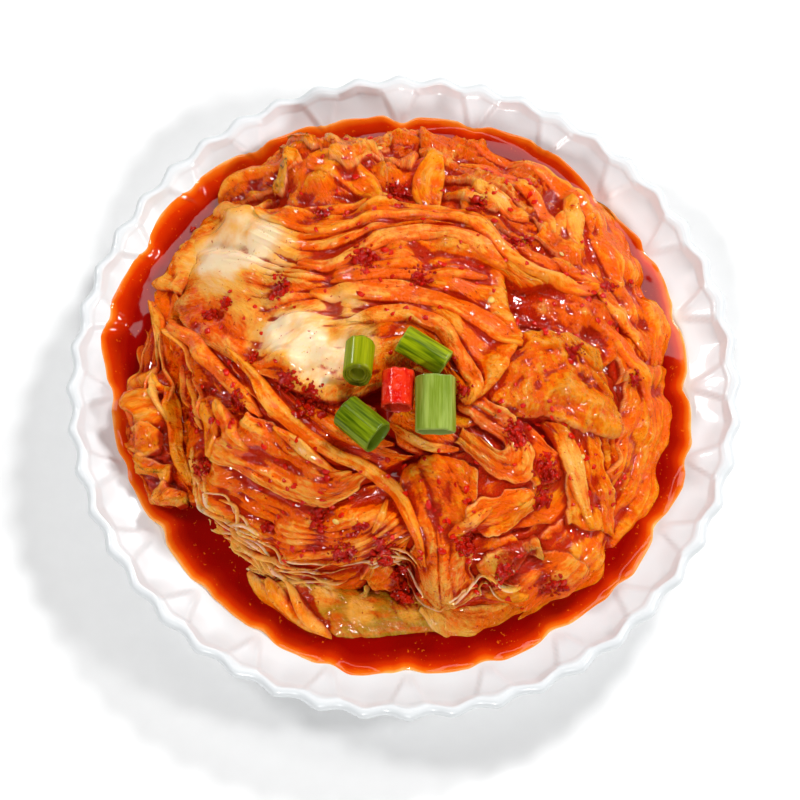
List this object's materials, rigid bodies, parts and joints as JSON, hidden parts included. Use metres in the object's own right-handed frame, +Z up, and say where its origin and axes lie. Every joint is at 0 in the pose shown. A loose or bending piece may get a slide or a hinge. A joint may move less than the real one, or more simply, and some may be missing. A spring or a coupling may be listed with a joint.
{
  "type": "plate of kimchi",
  "caption": "Folded mound of napa cabbage kimchi in its red sauce, topped with cut scallions and red chilli, on a white fluted plate that rests on its foot ring.",
  "frame": {"origin": "centre of the plate's foot ring, at the level it rests on", "axes": "+Z up out of the plate, +Y to the far side of the plate and +X to its right, as the dish is served"},
  "size_m": [0.2194, 0.2194, 0.0694],
  "materials": {
    "plate": "white gloss glaze",
    "sauce": "wet red chilli sauce",
    "cabbage": "wet orange-red cabbage leaf",
    "pale_cabbage": "wet pale yellow-green cabbage leaf",
    "scallion": "fresh green, satin",
    "chilli": "shiny red skin",
    "chilli_flakes": "wet ground chilli",
    "seeds": "pale chilli seed"
  },
  "bodies": {
    "root": {"plate": "plate", "sauce": "sauce", "cabbage_bundle": "cabbage", "side_leaves": "cabbage", "front_leaf": "pale_cabbage", "scallion_1": "scallion", "scallion_2": "scallion", "scallion_3": "scallion", "scallion_4": "scallion", "red_chilli": "chilli"}
  },
  "joints": []
}
